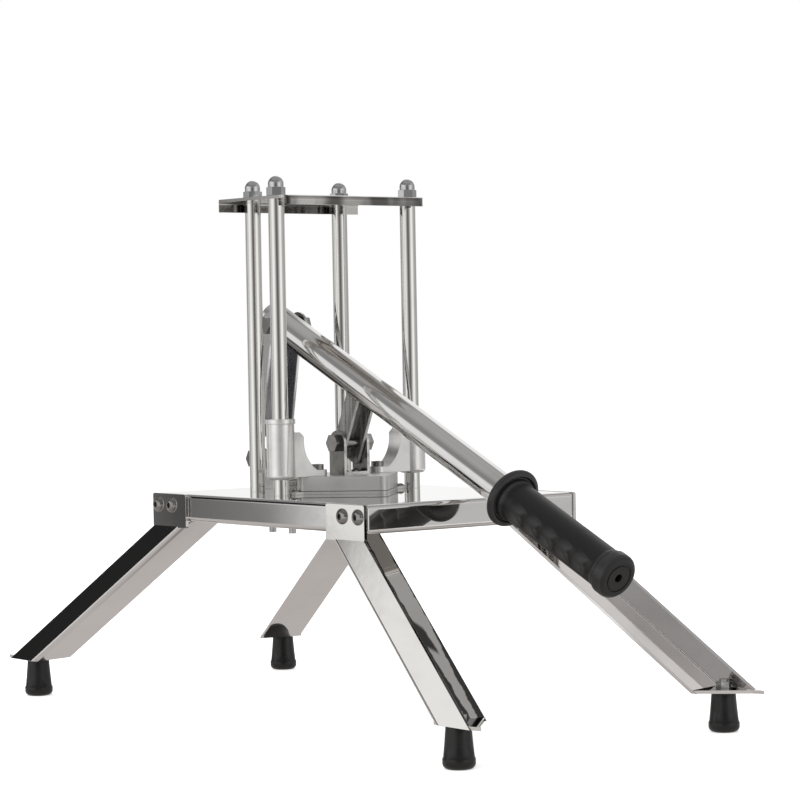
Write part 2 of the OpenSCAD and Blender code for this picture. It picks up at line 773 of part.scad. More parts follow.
module sleeve(right) {
    color(NYLON) to_side(right) translate([front_rod_x, front_rod_y, boss_bottom]) difference() {
        cylinder(h = boss_h, d = sleeve_d);
        translate([0, 0, -over]) cylinder(h = boss_h + 2 * over, d = rod_d + 2 * run_play);
    }
}
module arm_screws() {
    color(ZINC) for (right = [-1, 1]) to_side(right)
        translate([front_rod_x, web_seat_y, pusher_top + web_seat_h])
            cap_screw(cap_head_d, cap_head_h, screw_d, web_seat_h + arm_thread_l);
}
module pusher_block() {
    color(CAST) translate([front_rod_x, 0, 0]) difference() {
        union() {
            translate([0, 0, pusher_bottom]) linear_extrude(pusher_t) edge_on_square();
            for (i = [0:blade_count])
                translate([0, -opening_w / 2 + (i + 0.5) * blade_pitch, pusher_bottom - rib_l])
                    linear_extrude(rib_l + over)
                        square([opening_w - 2 * rib_end_gap, rib_w], center = true);
        }
        for (right = [-1, 1]) translate([0, right * web_seat_y, pusher_top - arm_thread_l])
            cylinder(h = arm_thread_l + over, d = screw_d + 2 * thread_play);
        for (right = [-1, 1]) translate([clevis_x, right * clevis_screw_y, pusher_top - arm_thread_l])
            cylinder(h = arm_thread_l + over, d = small_d + 2 * thread_play);
    }
}
module clevis_bracket() {
    color(ZINC) translate([pin_x, 0, pusher_top]) difference() {
        across(clevis_w) linear_extrude(clevis_w) {
            translate([0, clevis_h]) circle(r = clevis_r);
            translate([-clevis_r, 0]) square([2 * clevis_r, clevis_h]);
        }
        across(clevis_w - 2 * clevis_t) linear_extrude(clevis_w - 2 * clevis_t)
            translate([-2 * clevis_r, clevis_t]) square([4 * clevis_r, 2 * clevis_h]);
        across(clevis_w + 2 * over) translate([0, clevis_h, 0])
            cylinder(h = clevis_w + 2 * over, d = bolt_d + 2 * hole_play);
        for (right = [-1, 1]) translate([0, right * clevis_screw_y, -over])
            cylinder(h = clevis_t + 2 * over, d = small_d + 2 * hole_play);
    }
}
module clevis_screws() {
    color(ZINC) for (right = [-1, 1])
        translate([pin_x, right * clevis_screw_y, pusher_top + clevis_t])
            round_screw(small_head_d, small_head_h, small_d, clevis_t + arm_thread_l);
}
module clevis_bolt() {
    color(ZINC) translate([pin_x, 0, pin_z]) pivot_bolt(clevis_w);
}
module clevis_nut() {
    color(ZINC) translate([pin_x, 0, pin_z]) pivot_nut(clevis_w);
}

module handle_tube() {
    tube_end = grip_x + grip_l - grip_cap - over;
    slot_r = bolt_d / 2 + slot_play;
    color(CHROME) in_handle() difference() {
        translate([-tube_rear, 0, 0]) rotate([0, 90, 0]) cylinder(h = tube_end + tube_rear, d = tube_d);
        translate([-tube_rear - over, 0, 0]) rotate([0, 90, 0])
            cylinder(h = tube_end + tube_rear + 2 * over, d = tube_d - 2 * tube_wall);
        across(tube_d + 2 * over) translate([0, -slot_drop / 2]) linear_extrude(tube_d + 2 * over)
            soft_rect(2 * (slot_travel + slot_r), slot_drop + 2 * slot_r, slot_r);
    }
}
// Channel welded under the tube, open to the front
module drop_link() {
    drop_l = drop_h + drop_toe;
    color(ZINC) in_handle() difference() {
        across(drop_w) linear_extrude(drop_w) translate([drop_x, -drop_l])
            translate([0, drop_l / 2]) soft_rect(drop_depth, drop_l, drop_toe_r);
        across(drop_w - 2 * drop_t) linear_extrude(drop_w - 2 * drop_t)
            translate([drop_x - drop_depth / 2 + drop_t, -2 * drop_l]) square([drop_depth, 3 * drop_l]);
        rotate([0, 90, 0]) cylinder(h = grip_x, d = tube_d + 2 * weld_gap);
        across(drop_w + 2 * over) translate([drop_x, -drop_h, 0])
            cylinder(h = drop_w + 2 * over, d = bolt_d + 2 * run_play);
    }
}
// Finger ridges along one side of the grip, each a wedge that rises toward the end
module finger_ridges() {
    zone_l = grip_l - grip_end_l - grip_collar_t - grip_neck - 2 * ridge_lead;
    pitch = zone_l / ridge_count;
    start = grip_collar_t + grip_neck + ridge_lead;
    intersection() {
        rotate_extrude() for (i = [0:ridge_count - 1]) translate([grip_d / 2, start + i * pitch])
            polygon([[-over, 0], [0, 0], [ridge_h, pitch * 0.8], [0, pitch], [-over, pitch]]);
        translate([-ridge_zone / 2, -grip_d, 0]) cube([ridge_zone, grip_d, grip_l]);
    }
}
module grip() {
    collar_r = grip_collar_t / 2;
    body_l = grip_l - grip_end_l;
    color(RUBBER) in_handle() translate([grip_x, 0, 0]) rotate([0, 90, 0]) difference() {
        union() {
            rotate_extrude() {
                translate([grip_collar_d / 2 - collar_r, collar_r]) circle(r = collar_r);
                square([grip_collar_d / 2 - collar_r, grip_collar_t]);
                polygon([[0, 0], [grip_d / 2 + grip_neck, grip_collar_t],
                    [grip_d / 2, grip_collar_t + grip_neck], [grip_d / 2, body_l],
                    [grip_end_d / 2, body_l + grip_step], [grip_end_d / 2, grip_l - grip_end_r],
                    [0, grip_l - grip_end_r]]);
                translate([grip_end_d / 2 - grip_end_r, grip_l - grip_end_r]) circle(r = grip_end_r);
                square([grip_end_d / 2 - grip_end_r, grip_l]);
            }
            finger_ridges();
            rotate(180) finger_ridges();
        }
        translate([0, 0, -over]) cylinder(h = grip_l - grip_cap + over, d = tube_d);
        cylinder(h = grip_l + over, d = grip_hole_d);
        translate([0, 0, grip_l - grip_ring_h]) difference() {
            cylinder(h = grip_ring_h + over, d = grip_ring_d);
            cylinder(h = grip_ring_h + over, d = grip_ring_d - 2 * grip_ring_w);
        }
    }
}

base_tray();
leg(1, -1);  // leg_front_left
leg(1, 1);  // leg_front_right
leg(-1, -1);  // leg_rear_left
leg(-1, 1);  // leg_rear_right
foot(1, -1);  // foot_front_left
foot(1, 1);  // foot_front_right
foot(-1, -1);  // foot_rear_left
foot(-1, 1);  // foot_rear_right
leg_screws();
leg_nuts();
foot_screws();
foot_nuts();
rod(front_rod_x, -front_rod_y);  // rod_front_left
rod(front_rod_x, front_rod_y);  // rod_front_right
rod(rear_rod_x, -rear_rod_y);  // rod_rear_left
rod(rear_rod_x, rear_rod_y);  // rod_rear_right
rod_washers();
rod_nuts();
top_plate();
acorn_nuts();
blade_frame();
blades();
frame_screws();
frame_nuts();
rear_bracket();
bracket_bolts();
bracket_nuts();
lower_pivot_bolt();
lower_pivot_nut();
rear_link();
upper_pivot_bolt();
upper_pivot_nut();
arm(-1);  // arm_left
arm(1);  // arm_right
sleeve(-1);  // sleeve_left
sleeve(1);  // sleeve_right
arm_screws();
pusher_block();
clevis_bracket();
clevis_screws();
clevis_bolt();
clevis_nut();
handle_tube();
drop_link();
grip();
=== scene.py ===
"""Looks of a lever-operated vegetable slicer with splayed legs.

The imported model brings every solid. This script gives each one its finish, puts detailed
rubber and screws in place of the plain ones, adds threads and welds, and sets up the studio.
Shapes are in millimetres until they are placed; materials and the studio are in metres."""

import math

import bmesh
import bpy
from mathutils import Matrix, Vector


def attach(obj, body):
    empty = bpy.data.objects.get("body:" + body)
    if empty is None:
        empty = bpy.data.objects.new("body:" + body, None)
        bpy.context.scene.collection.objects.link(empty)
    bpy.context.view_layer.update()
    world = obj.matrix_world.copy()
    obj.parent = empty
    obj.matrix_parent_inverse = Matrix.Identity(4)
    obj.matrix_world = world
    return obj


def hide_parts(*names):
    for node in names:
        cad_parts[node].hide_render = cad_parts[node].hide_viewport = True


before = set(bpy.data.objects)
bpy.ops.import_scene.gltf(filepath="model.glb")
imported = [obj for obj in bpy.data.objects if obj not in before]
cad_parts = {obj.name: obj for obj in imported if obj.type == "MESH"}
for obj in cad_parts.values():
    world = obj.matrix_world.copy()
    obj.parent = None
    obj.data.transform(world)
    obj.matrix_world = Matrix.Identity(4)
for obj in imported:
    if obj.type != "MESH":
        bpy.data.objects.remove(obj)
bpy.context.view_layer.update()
MM = 0.001


# ---------------------------------------------------------------- shader maths
class Sock:
    """A socket in a material: an expression on it adds its Math nodes."""

    def __init__(self, paint, socket):
        self.paint = paint
        self.socket = socket

    def math(self, operation, *others, clamp=False):
        node = self.paint.node("ShaderNodeMath", {"operation": operation, "use_clamp": clamp},
                               dict(enumerate((self,) + others)))
        return Sock(self.paint, node.outputs[0])

    def __add__(self, other): return self.math("ADD", other)
    def __radd__(self, other): return self.math("ADD", other)
    def __mul__(self, other): return self.math("MULTIPLY", other)
    def __rmul__(self, other): return self.math("MULTIPLY", other)
    def __sub__(self, other): return self.math("SUBTRACT", other)
    def __rsub__(self, other): return (-self) + other
    def __truediv__(self, other): return self.math("DIVIDE", other)
    def __neg__(self): return self.math("MULTIPLY", -1.0)
    def __abs__(self): return self.math("ABSOLUTE")

    def clip(self):
        """Kept between 0 and 1."""
        return self.math("ADD", 0.0, clamp=True)

    def above_zero(self):
        return self.math("MAXIMUM", 0.0)

    def step(self, low, high):
        """0 below low, 1 above high, smooth between."""
        node = self.paint.node("ShaderNodeMapRange", {"interpolation_type": "SMOOTHSTEP"},
                               {"Value": self, "From Min": low, "From Max": high})
        return Sock(self.paint, node.outputs["Result"])

    def between(self, low, high, soft):
        """1 between low and high, 0 outside, with a soft edge."""
        return self.step(low - soft, low + soft) * (1 - self.step(high - soft, high + soft))

    def mix(self, a, b):
        """a where this is 0 and b where it is 1, as colours."""
        node = self.paint.node("ShaderNodeMix", {"data_type": "RGBA"}, {"Factor": self, 6: a, 7: b})
        return Sock(self.paint, node.outputs[2])


class Paint:
    """One node tree being filled."""

    def __init__(self, tree):
        self.tree = tree

    def node(self, kind, settings=None, inputs=None):
        """A node with its settings, then the values or links of its sockets."""
        made = self.tree.nodes.new(kind)
        for key, value in (settings or {}).items():
            if key == "stops":
                ramp = made.color_ramp
                while len(ramp.elements) < len(value):
                    ramp.elements.new(0.5)
                for element, (place, level) in zip(ramp.elements, value):
                    element.position = place
                    element.color = (level, level, level, 1.0)
            else:
                setattr(made, key, value)
        for key, value in (inputs or {}).items():
            socket = made.inputs[key]
            if isinstance(value, Sock):
                self.tree.links.new(value.socket, socket)
            elif isinstance(value, tuple) and len(socket.default_value) == len(value) + 1:
                socket.default_value = (*value, 1.0)
            else:
                socket.default_value = value
        return made

    def out(self, made, name=0):
        return Sock(self, made.outputs[name])

    def coordinate(self, name):
        return self.out(self.node("ShaderNodeTexCoord"), name)

    def axes(self, vector):
        """The X, Y and Z of a vector."""
        split = self.node("ShaderNodeSeparateXYZ", {}, {0: vector})
        return [self.out(split, i) for i in range(3)]

    def place(self, scale=(1, 1, 1), turn=(0, 0, 0)):
        """Position on the object in metres, stretched and turned."""
        mapping = self.node("ShaderNodeMapping", {}, {"Vector": self.coordinate("Object"),
                                                     "Scale": scale, "Rotation": turn})
        return self.out(mapping, "Vector")

    def position(self):
        """X, Y and Z on the object in metres."""
        return self.axes(self.place())

    def facing(self):
        """X, Y and Z of the way the surface faces."""
        return self.axes(self.coordinate("Normal"))

    def noise(self, vector, scale, detail, rough):
        """Cloudy noise around 0.5, with scale features to a metre of the vector."""
        made = self.node("ShaderNodeTexNoise", {}, {"Vector": vector, "Scale": scale,
                                                   "Detail": detail, "Roughness": rough})
        return self.out(made, "Fac")

    def ramp(self, value, stops):
        """A grey that follows a number, from (place, level) stops."""
        return self.out(self.node("ShaderNodeValToRGB", {"stops": stops}, {"Fac": value}))

    def bump(self, height, distance, strength, normal=None):
        inputs = {"Height": height, "Distance": distance, "Strength": strength}
        if normal is not None:
            inputs["Normal"] = normal
        return self.out(self.node("ShaderNodeBump", {}, inputs), "Normal")

    def soft_edge(self, radius):
        return self.out(self.node("ShaderNodeBevel", {"samples": 4}, {"Radius": radius}), "Normal")

    def mix_shader(self, factor, first, second):
        return self.out(self.node("ShaderNodeMixShader", {}, {"Fac": factor, 1: first, 2: second}))

    def emission(self, colour, strength=1.0):
        return self.out(self.node("ShaderNodeEmission", {}, {"Color": colour,
                                                            "Strength": strength}))

    def background(self, colour, strength=1.0):
        return self.out(self.node("ShaderNodeBackground", {}, {"Color": colour,
                                                              "Strength": strength}))


def grey(level):
    return (level, level, level)


def darker(colour, by):
    return tuple(c * by for c in colour)


def finish_material(name, colour, metal, make):
    """A material whose colour, roughness and normal come from make(paint)."""
    material = bpy.data.materials.new(name)
    material.use_nodes = True
    material.diffuse_color = (*colour, 1.0)
    material.node_tree.nodes.clear()
    paint = Paint(material.node_tree)
    shader = paint.node("ShaderNodeBsdfPrincipled", {}, {"Metallic": metal, **make(paint)})
    paint.node("ShaderNodeOutputMaterial", {}, {"Surface": paint.out(shader)})
    return material


# ---------------------------------------------------------------- finishes
# a leg's outer flange in metres: how far out it is at the tray, the height there, and its slope
FLANGE_OUT, FLANGE_TOP, FLANGE_SLOPE = 0.1025, 0.148, 0.2992
# the front left leg's inner flange, by the distance from the outer one: where it comes out
# from behind that one, where its free edge begins, and the reach of the patch of painted dark
# reflection
FLANGE_SHOWS, FLANGE_EDGE, PATCH_REACH = 0.0244, 0.0364, 0.0300
# below these heights the two bands of painted dark reflection widen toward the foot, at these rates
EDGE_WIDENS, EDGE_RATE, NEAR_WIDENS, NEAR_RATE = 0.095, 0.070, 0.080, 0.055
BORDER_SOFT = 0.001


def flange_painted_reflections(p, fine):
    """1 on the painted dark reflections along the two edges and in a patch of the front left leg's
    inner flange.
    """
    _, y, height = p.position()
    _, sideways, _ = p.facing()
    inner = 1 - abs(sideways).step(0.5, 0.75)
    waver = (fine - 0.5) * 0.004
    off = y + FLANGE_OUT + (FLANGE_TOP - height) * FLANGE_SLOPE + waver
    edge = off + (EDGE_WIDENS - height).above_zero() * EDGE_RATE
    near = off - (NEAR_WIDENS - height).above_zero() * NEAR_RATE
    edge_border = edge.step(FLANGE_EDGE, FLANGE_EDGE + BORDER_SOFT)
    near_border = 1 - near.step(FLANGE_SHOWS, FLANGE_SHOWS + BORDER_SOFT)
    patch = (height + off * 0.8).between(0.096, 0.112, soft=0.002)
    patch = patch * (1 - off.step(PATCH_REACH, PATCH_REACH + 0.0018))
    return (edge_border + near_border + patch).clip() * inner


def mirror_steel(name, colour, wave, lean=0.0, dark_reflection_borders=False):
    """Polished stainless sheet: slightly wavy, hazy patches, soft folds. lean tips what it
    mirrors along X, and the last flag paints dark reflections on the edges of the front left leg's
    inner flange."""
    def make(p):
        smear = p.noise(p.place((1, 1, 2.5)), scale=16.0, detail=4.0, rough=0.6)
        sway = p.noise(p.place(), scale=7.0, detail=1.0, rough=0.4)
        fine = p.noise(p.place(), scale=90.0, detail=3.0, rough=0.5)
        base = smear.step(0.4, 0.8).mix(colour, darker(colour, 0.94))
        # painted dark reflection: the edges and a patch of the front left leg's inner flange are
        # darkened in the colour
        if dark_reflection_borders:
            base = (flange_painted_reflections(p, fine) * 0.95).mix(base, darker(colour, 0.06))
        normal = p.bump(sway + fine * 0.02, wave, 0.35, p.soft_edge(0.0005))
        if lean:
            x, _, _ = p.position()
            normal = p.bump(x, lean, 1.0, normal)
        return {"Base Color": base, "Roughness": 0.03 + smear.step(0.45, 0.85) * 0.07,
                "Normal": normal}
    return finish_material(name, colour, 1.0, make)


def tube_painted_reflections(p, haze):
    """Near 1 where a dark reflection is painted: the tube's underside behind the drop link and the
    top of its rear end, by X.
    """
    _, sideways, up = p.facing()
    x, _, _ = p.position()
    under = (-up).step(0.02, 0.26) * (1 - x.step(0.008, 0.044))
    over = sideways.step(-0.34, -0.14) * up.step(0.0, 0.2) * (1 - x.step(-0.085, -0.050))
    return ((under * 0.86 + over * 0.72).clip() * (0.8 + haze * 0.4)).clip()


def lip_painted_reflections(p):
    """1 on cloudy patches of painted dark reflection on the top plate's folded lips."""
    forward, _, _ = p.facing()
    cloud = p.noise(p.place((1, 1, 0.3)), scale=26.0, detail=2.0, rough=0.55)
    return abs(forward).step(0.3, 0.7) * cloud.step(0.60, 0.44)


def chrome(name, colour, rough, axis, dark_reflections_painted=False, lips_painted_dark=False):
    """Bright plating: almost a mirror, with faint drawing lines along an axis and some haze.
    One flag paints dark reflections into the handle tube's colour, the other into the top plate's
    lips."""
    def make(p):
        stretch = [420.0, 420.0, 420.0]
        stretch[axis] = 5.0
        lines = p.noise(p.place(tuple(stretch)), scale=1.0, detail=3.0, rough=0.5)
        haze = p.noise(p.place(), scale=30.0, detail=3.0, rough=0.6)
        base = haze.step(0.4, 0.8).mix(colour, darker(colour, 0.94))
        # painted dark reflection on the tube's underside behind the drop link and on top of its
        # rear end
        if dark_reflections_painted:
            base = tube_painted_reflections(p, haze).mix(base, (0.10, 0.095, 0.09))
        # painted dark reflection in cloudy patches on the top plate's lips
        if lips_painted_dark:
            base = lip_painted_reflections(p).mix(base, darker(colour, 0.22))
        return {"Base Color": base,
                "Roughness": rough + haze.step(0.45, 0.8) * 0.06 + lines * 0.03,
                "Normal": p.bump(lines, 0.000002, 0.4, p.soft_edge(0.0004))}
    return finish_material(name, colour, 1.0, make)


def plain_steel(name, colour, rough, axis, edge=0.0004, shaded_trough=None):
    """Rolled sheet with a mill finish: fine lines along an axis, small stains, softened edges.
    The last argument is the half width of a channel that opens forward and the colour of the shade
    painted inside it."""
    def make(p):
        stretch = [900.0, 900.0, 900.0]
        stretch[axis] = 9.0
        lines = p.noise(p.place(tuple(stretch)), scale=1.0, detail=5.0, rough=0.65)
        stain = p.noise(p.place(), scale=55.0, detail=4.0, rough=0.6)
        base = (stain.step(0.45, 0.75) * 0.7).mix(colour, darker(colour, 0.8))
        # painted shade inside the rear link's channel
        if shaded_trough:
            half_width, trough_shade_colour = shaded_trough
            forward, _, _ = p.facing()
            _, y, _ = p.position()
            inside = forward.step(-0.5, -0.2) * (1 - abs(y).step(half_width, half_width + 0.0006))
            base = (inside * (0.85 + stain * 0.3)).clip().mix(base, trough_shade_colour)
        return {"Base Color": base,
                "Roughness": rough + (lines - 0.5) * 0.08 + stain.step(0.5, 0.8) * 0.08,
                "Normal": p.bump(lines, 0.000003, 0.5, p.soft_edge(edge))}
    return finish_material(name, colour, 1.0, make)


def strip_steel(name, side_shade_colour, edge_colour, rough=0.22, metal=1.0, streaks=0.0):
    """Folded strip: dull, mottled sides that face left and right and carry a painted dark
    reflection, brighter web and cut edges.
    streaks is how strong the bright drawing lines along the drop link are."""
    def make(p):
        _, sideways, _ = p.facing()
        side = abs(sideways).step(0.55, 0.9)
        stain = p.noise(p.place(), scale=120.0, detail=4.0, rough=0.6)
        # painted dark reflection: sides facing left and right take the darker colour
        base = (stain.step(0.42, 0.7) * 0.6).mix(side.mix(edge_colour, side_shade_colour),
                                                 darker(side_shade_colour, 0.55))
        if streaks:
            along_link = p.place(scale=(380, 380, 14), turn=(0, 0.43, 0))
            drawn = p.noise(along_link, scale=1.0, detail=3.0, rough=0.5)
            base = (drawn.step(0.42, 0.62) * streaks).mix(base, (0.9, 0.89, 0.87))
        fine = p.noise(p.place((1, 1, 0.05)), scale=900.0, detail=3.0, rough=0.6)
        return {"Base Color": base,
                "Roughness": rough * (0.5 + side * 0.5) + stain.step(0.5, 0.8) * 0.1,
                "Normal": p.bump(fine, 0.000004, 0.5, p.soft_edge(0.0005))}
    return finish_material(name, edge_colour, metal, make)


def zinc(name, colour, rough):
    """Plated fasteners: bright with a mottled haze."""
    def make(p):
        mottle = p.noise(p.place(), scale=160.0, detail=4.0, rough=0.6)
        grain = p.noise(p.place(), scale=900.0, detail=2.0, rough=0.5)
        return {"Base Color": mottle.step(0.4, 0.7).mix(colour, darker(colour, 0.78)),
                "Roughness": rough + mottle.step(0.4, 0.8) * 0.12,
                "Normal": p.bump(grain, 0.00001, 0.4, p.soft_edge(0.0003))}
    return finish_material(name, colour, 1.0, make)


def cast_metal(name, colour, rough, grain, edge, metal):
    """Tumbled casting: fine orange-peel skin, faint clouds and soft corners."""
    def make(p):
        skin = p.noise(p.place(), scale=900.0, detail=2.0, rough=0.5)
        cloud = p.noise(p.place(), scale=40.0, detail=3.0, rough=0.5)
        return {"Base Color": cloud.step(0.35, 0.75).mix(colour, darker(colour, 0.84)),
                "Roughness": rough + skin * 0.06 + cloud * 0.08,
                "Normal": p.bump(skin, grain, 0.5, p.soft_edge(edge))}
    return finish_material(name, colour, metal, make)


def foot_skin(name, colour, dusty, rough):
    """Moulded rubber of the feet: fine spark-eroded skin, dusty patches, faint sheen."""
    def make(p):
        skin = p.noise(p.place(), scale=1400.0, detail=3.0, rough=0.6)
        dust = p.noise(p.place(), scale=45.0, detail=5.0, rough=0.65)
        return {"Base Color": dust.step(0.5, 0.85).mix(colour, dusty),
                "Roughness": rough + skin * 0.12 + dust.step(0.45, 0.8) * 0.12,
                "Normal": p.bump(skin, 0.00004, 0.6, p.soft_edge(0.0006))}
    return finish_material(name, colour, 0.0, make)


def grip_skin(name, centre, axis):
    """Moulded rubber whose raised pads and rims are painted a little lighter than its hollows: a
    painted highlight, mottled with dust.
    centre and axis are the line that the grip lies round."""
    def make(p):
        place = p.place()
        arm = p.node("ShaderNodeVectorMath", {"operation": "SUBTRACT"}, {0: place, 1: centre})
        across = p.node("ShaderNodeVectorMath", {"operation": "CROSS_PRODUCT"},
                        {0: p.out(arm), 1: axis})
        radius = p.out(p.node("ShaderNodeVectorMath", {"operation": "LENGTH"},
                              {0: p.out(across)}), "Value")
        skin = p.noise(place, scale=1400.0, detail=3.0, rough=0.6)
        dust = p.noise(place, scale=60.0, detail=5.0, rough=0.65)
        raised = radius.step(0.0152, 0.0163)
        # painted highlight on the raised pads and rims, varied by dust
        return {"Base Color": (raised * (0.55 + dust * 0.6)).mix(grey(0.006),
                                                                 (0.026, 0.0245, 0.0245)),
                "Roughness": 0.40 - raised * 0.08 + skin * 0.08 + dust.step(0.5, 0.8) * 0.1,
                "Normal": p.bump(skin, 0.00003, 0.5, p.soft_edge(0.0005))}
    return finish_material(name, grey(0.012), 0.0, make)


def nylon(name, colour):
    """Turned plastic of the sleeves in the bosses."""
    def make(p):
        grain = p.noise(p.place(), scale=700.0, detail=2.0, rough=0.5)
        tint = p.noise(p.place(), scale=60.0, detail=3.0, rough=0.5)
        return {"Base Color": tint.step(0.4, 0.8).mix(colour, darker(colour, 0.88)),
                "Roughness": 0.42 + grain * 0.1,
                "Normal": p.bump(grain, 0.00002, 0.4)}
    return finish_material(name, colour, 0.0, make)


LEG_STEEL, STRIP = (0.80, 0.78, 0.77), (0.70, 0.69, 0.68)
BOLT_DARK = zinc("bolt_dark", (0.34, 0.33, 0.32), rough=0.13)
BOLT_ZINC = zinc("bolt_zinc", (0.56, 0.55, 0.54), rough=0.24)
WELD = cast_metal("weld_metal", (0.36, 0.34, 0.32), rough=0.30, grain=0.00006, edge=0.0003,
                  metal=1.0)
GRIP_RUBBER = grip_skin("grip_rubber", (-0.09218, 0.0, 0.30688), (0.9078, 0.0, -0.4195))
FOOT_RUBBER = foot_skin("foot_rubber", grey(0.005), grey(0.016), rough=0.22)

CORNERS = ["front_left", "front_right", "rear_left", "rear_right"]
FINISHES = [
    (mirror_steel("tray_polish", (0.79, 0.775, 0.76), wave=0.0006), ["base_tray"]),
    (mirror_steel("leg_polish", LEG_STEEL, wave=0.0018), ["leg_front_right", "leg_rear_right"]),
    # the front left leg: the same steel as the other legs painted lighter, as painted light, with
    # painted dark reflections on its inner flange
    (mirror_steel("leg_polish_near_painted", (0.88, 0.86, 0.83), wave=0.0018, dark_reflection_borders=True),
     ["leg_front_left"]),
    (mirror_steel("leg_polish_back", LEG_STEEL, wave=0.0010, lean=0.025), ["leg_rear_left"]),
    (chrome("rod_chrome", (0.84, 0.83, 0.80), rough=0.05, axis=2),
     ["rod_" + corner for corner in CORNERS]),
    (chrome("plate_chrome", (0.62, 0.605, 0.58), rough=0.06, axis=0, lips_painted_dark=True),
     ["top_plate"]),
    (chrome("tube_chrome", (0.82, 0.81, 0.80), rough=0.06, axis=0, dark_reflections_painted=True), ["handle_tube"]),
    (chrome("nut_chrome", grey(0.64), rough=0.07, axis=2), ["acorn_nuts"]),
    # the last colour is painted shade inside the rear link's channel
    (plain_steel("link_steel", STRIP, rough=0.12, axis=2, shaded_trough=(0.0134, (0.25, 0.255, 0.27))),
     ["rear_link"]),
    (plain_steel("bracket_steel", STRIP, rough=0.12, axis=2), ["rear_bracket"]),
    (plain_steel("blade_steel", grey(0.72), rough=0.16, axis=0, edge=0.0001), ["blades"]),
    # the first colour of each strip is a painted dark reflection on its sides
    (strip_steel("clevis_steel", (0.27, 0.265, 0.25), (0.78, 0.77, 0.75)), ["clevis_bracket"]),
    (strip_steel("drop_link_steel", (0.20, 0.195, 0.185), (0.74, 0.73, 0.71), rough=0.26,
                 metal=0.55, streaks=0.22), ["drop_link"]),
    (BOLT_DARK, ["clevis_bolt", "arm_screws", "lower_pivot_bolt", "upper_pivot_bolt"]),
    (BOLT_ZINC, ["leg_screws", "leg_nuts", "foot_screws", "foot_nuts", "rod_washers", "rod_nuts",
                 "frame_screws", "frame_nuts", "bracket_bolts", "bracket_nuts", "lower_pivot_nut",
                 "upper_pivot_nut", "clevis_screws", "clevis_nut"]),
    (cast_metal("cast_aluminium", (0.90, 0.89, 0.87), rough=0.14, grain=0.000015, edge=0.0009,
                metal=0.75), ["arm_left", "arm_right"]),
    (cast_metal("machined_block", (0.72, 0.71, 0.69), rough=0.26, grain=0.000015, edge=0.0006,
                metal=0.75), ["pusher_block", "blade_frame"]),
    (GRIP_RUBBER, ["grip"]),
    (FOOT_RUBBER, ["foot_" + corner for corner in CORNERS]),
    (nylon("sleeve_nylon", (0.80, 0.79, 0.74)), ["sleeve_left", "sleeve_right"]),
]
for material, names in FINISHES:
    for name in names:
        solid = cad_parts[name]
        solid.data.materials.clear()
        solid.data.materials.append(material)


# ---------------------------------------------------------------- making pieces
def add_piece(name, build, material, body, replaced=(), sharp=30):
    """Mesh from build(bm), smooth but for edges above sharp degrees, riding on its body."""
    mesh = bpy.data.meshes.new(name)
    bm = bmesh.new()
    build(bm)
    bmesh.ops.remove_doubles(bm, verts=bm.verts, dist=0.000002)
    bmesh.ops.recalc_face_normals(bm, faces=bm.faces)
    bm.to_mesh(mesh)
    bm.free()
    mesh.materials.append(material)
    mesh.shade_smooth()
    mesh.set_sharp_from_angle(angle=math.radians(sharp))
    piece = bpy.data.objects.new(name, mesh)
    bpy.context.collection.objects.link(piece)
    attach(piece, body)
    if replaced:
        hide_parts(*replaced)


def circle(radius, sides):
    """Points in millimetres on a circle round the local Z axis."""
    turns = [2 * math.pi * i / sides for i in range(sides)]
    return [Vector((radius * math.cos(a), radius * math.sin(a), 0)) for a in turns]


def skin_rings(bm, rings, closed=False):
    """Faces from each ring to the next, with caps, or back to the first ring."""
    sides = len(rings[0])
    for low, high in zip(rings, rings[1:] + ([rings[0]] if closed else [])):
        for i in range(sides):
            j = (i + 1) % sides
            bm.faces.new((low[i], low[j], high[j], high[i]))
    if not closed:
        bm.faces.new(rings[0])
        bm.faces.new(rings[-1])


def lathe(bm, place, profile, sides, shape=None, closed=False):
    """Turn (radius, along) points about the local Z axis; shape(radius, angle, along) may
    alter a radius."""
    rings = []
    for radius, along in profile:
        ring = []
        for i in range(sides):
            angle = 2 * math.pi * i / sides
            r = shape(radius, angle, along) if shape else radius
            point = Vector((r * math.cos(angle), r * math.sin(angle), along))
            ring.append(bm.verts.new(place @ (point * MM)))
        rings.append(ring)
    skin_rings(bm, rings, closed)


def arc(centre, radius, start, end, steps):
    """Points of a profile on a circle, angles in degrees."""
    angles = [math.radians(start + (end - start) * i / steps) for i in range(steps + 1)]
    return [(centre[0] + radius * math.cos(a), centre[1] + radius * math.sin(a)) for a in angles]


def shifted(*offset):
    return Matrix.Translation(Vector(offset) * MM)


def looking(origin, direction):
    """Frame at origin whose Z axis runs along direction."""
    return shifted(*origin) @ Vector(direction).to_track_quat("Z", "Y").to_matrix().to_4x4()


# ---------------------------------------------------------------- the handle's pieces
# the clevis pin and the tube's tilt at rest; the drop link's distance from the rear pivot
# along the tube, and the tube's distance from the pin across it
PIN_X, PIN_Z, TILT = -7.0, 213.0, math.radians(24.8)
DROP_X, DROP_H = 116.7, 49.5
REAR_PIVOT = (PIN_X - DROP_X * math.cos(TILT) + DROP_H * math.sin(TILT), 0.0,
              PIN_Z + DROP_X * math.sin(TILT) + DROP_H * math.cos(TILT))
HANDLE = shifted(*REAR_PIVOT) @ Matrix.Rotation(TILT, 4, "Y")

